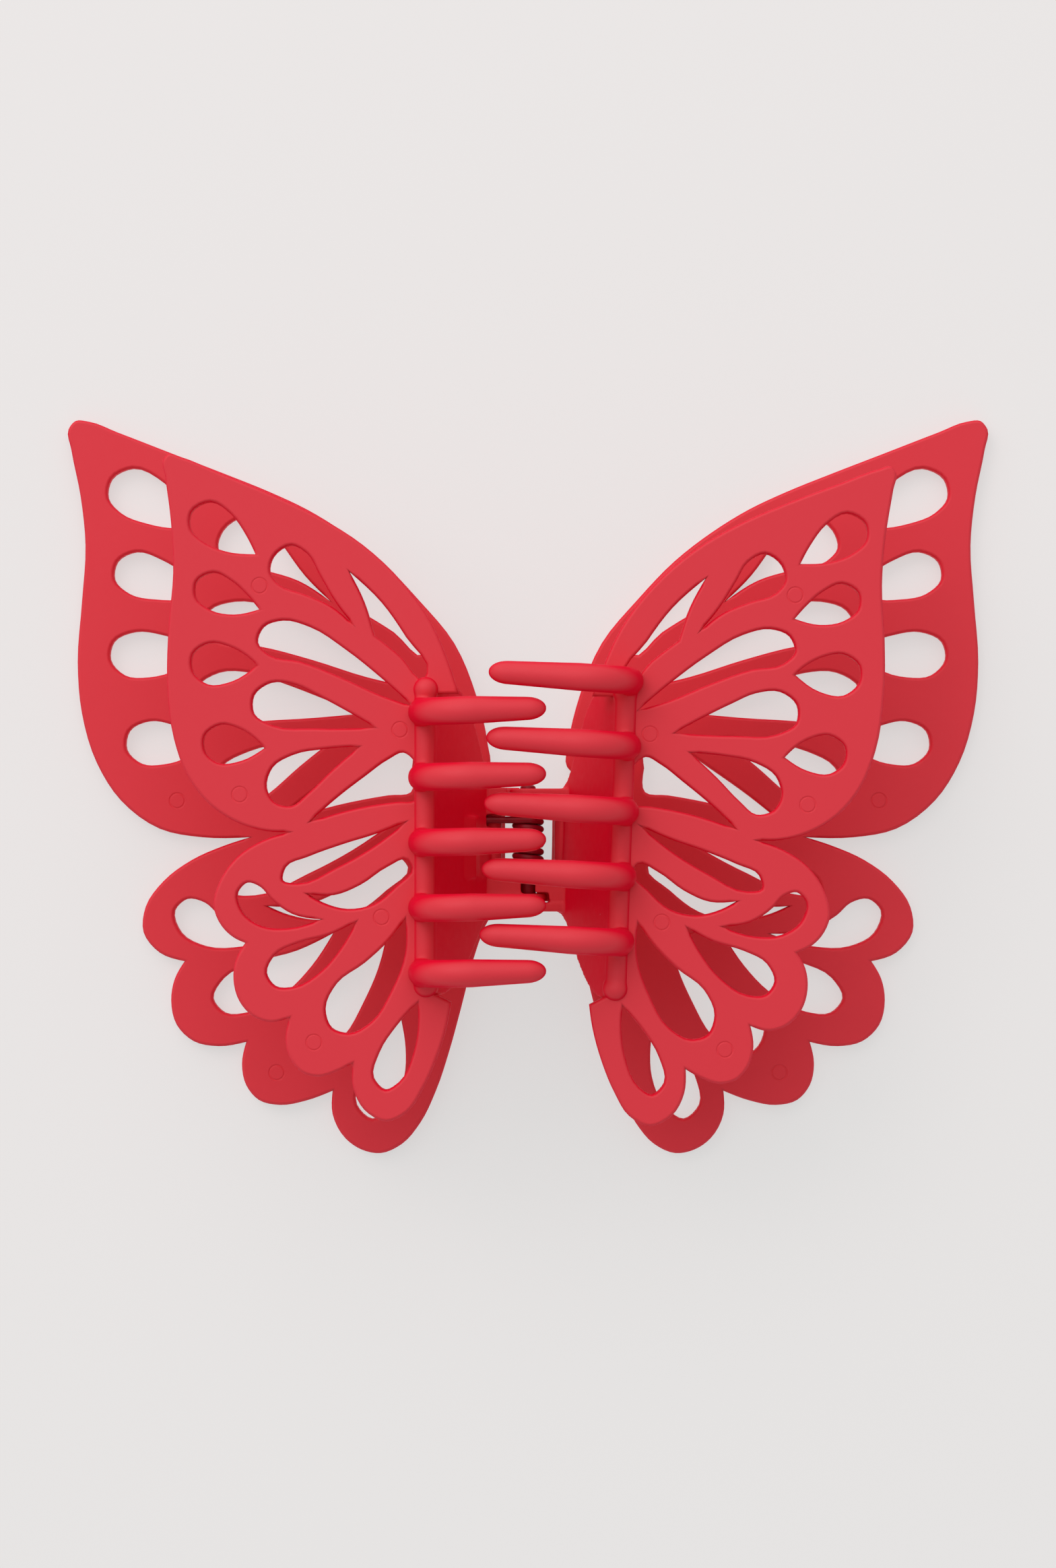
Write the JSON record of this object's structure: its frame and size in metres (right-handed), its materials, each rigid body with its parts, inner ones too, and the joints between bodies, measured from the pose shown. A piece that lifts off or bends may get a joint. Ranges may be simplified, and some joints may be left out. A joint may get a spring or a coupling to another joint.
{
  "type": "hair claw clip",
  "caption": "Butterfly hair claw: sprung jaws with curved interlocking teeth, each carrying an openwork inner wing and a larger outer wing that is squeezed to open it.",
  "frame": {"origin": "middle of the clip, on the plane of the outer wings' outer faces", "axes": "+X from the left wing to the right wing, +Y towards the upper wing tips, +Z from the outer wings to the teeth"},
  "size_m": [0.13, 0.1035, 0.0374],
  "materials": {
    "red_plastic": "soft matte, moulded",
    "coated_wire": "dark red coated wire, satin"
  },
  "bodies": {
    "left_half": {"left_jaw": "red_plastic", "left_inner_wing": "red_plastic", "left_outer_wing": "red_plastic", "hinge_pin": "coated_wire", "torsion_spring": "coated_wire"},
    "right_half": {"right_jaw": "red_plastic", "right_inner_wing": "red_plastic", "right_outer_wing": "red_plastic"}
  },
  "joints": [
    {"name": "clip_hinge", "type": "hinge", "parent": "left_half", "child": "right_half", "pos_m": [0, 0, 0.007], "axis": [0, 1, 0], "range_deg": [0, 50], "stiffness_Nm_per_rad": 0.081, "springref_deg": -60.16, "deforming": ["torsion_spring"]}
  ]
}
